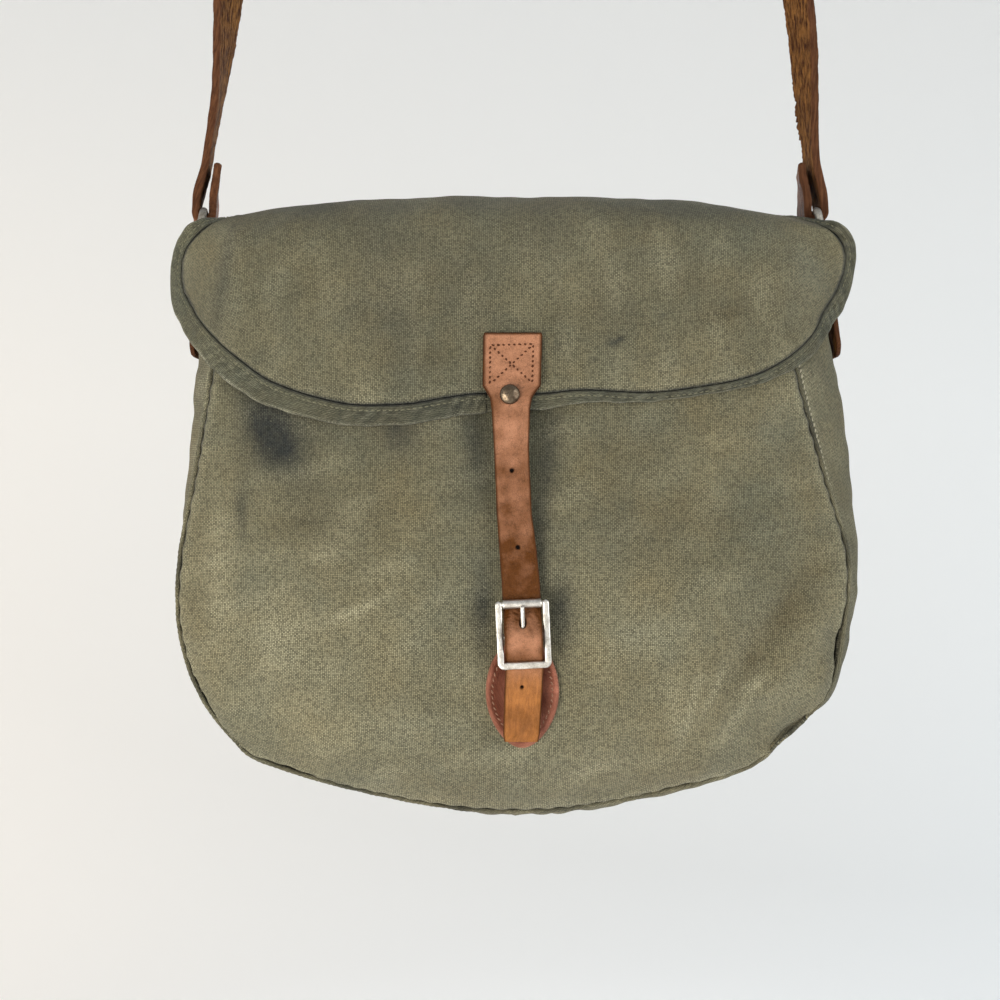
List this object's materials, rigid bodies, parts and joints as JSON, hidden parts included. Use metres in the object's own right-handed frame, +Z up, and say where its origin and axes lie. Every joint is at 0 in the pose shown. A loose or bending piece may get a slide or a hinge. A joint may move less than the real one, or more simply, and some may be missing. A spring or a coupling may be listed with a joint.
{
  "type": "canvas satchel",
  "caption": "Canvas shoulder bag with a rounded flap, a leather closure strap on a roller buckle, and a leather shoulder strap folded round two metal rings.",
  "frame": {"origin": "the underside of the shoulder strap at the top of its loop, where a hook or a shoulder carries the bag", "axes": "+Z up, +X across the bag to the right as seen from the front, -Y towards the front with its flap and buckle"},
  "size_m": [0.3556, 0.1282, 0.823],
  "materials": {
    "canvas": "matt olive cotton canvas, worn and stained",
    "binding": "matt bound canvas edge, paler where it is rubbed",
    "leather": "worn brown leather",
    "red_leather": "dull reddish leather",
    "steel": "worn nickel-plated steel",
    "brass": "tarnished dome"
  },
  "bodies": {
    "root": {"body_front": "canvas", "body_back": "canvas", "body_gusset": "canvas", "flap": "canvas", "flap_rim": "binding", "closure_strap": "leather", "closure_rivet": "brass", "buckle_frame": "steel", "buckle_roller": "steel", "buckle_prong": "steel", "buckle_chape": "red_leather", "buckle_patch": "red_leather", "ring_left": "steel", "ring_right": "steel", "ring_tab_left": "leather", "ring_tab_right": "leather", "shoulder_strap": "leather"}
  },
  "joints": []
}
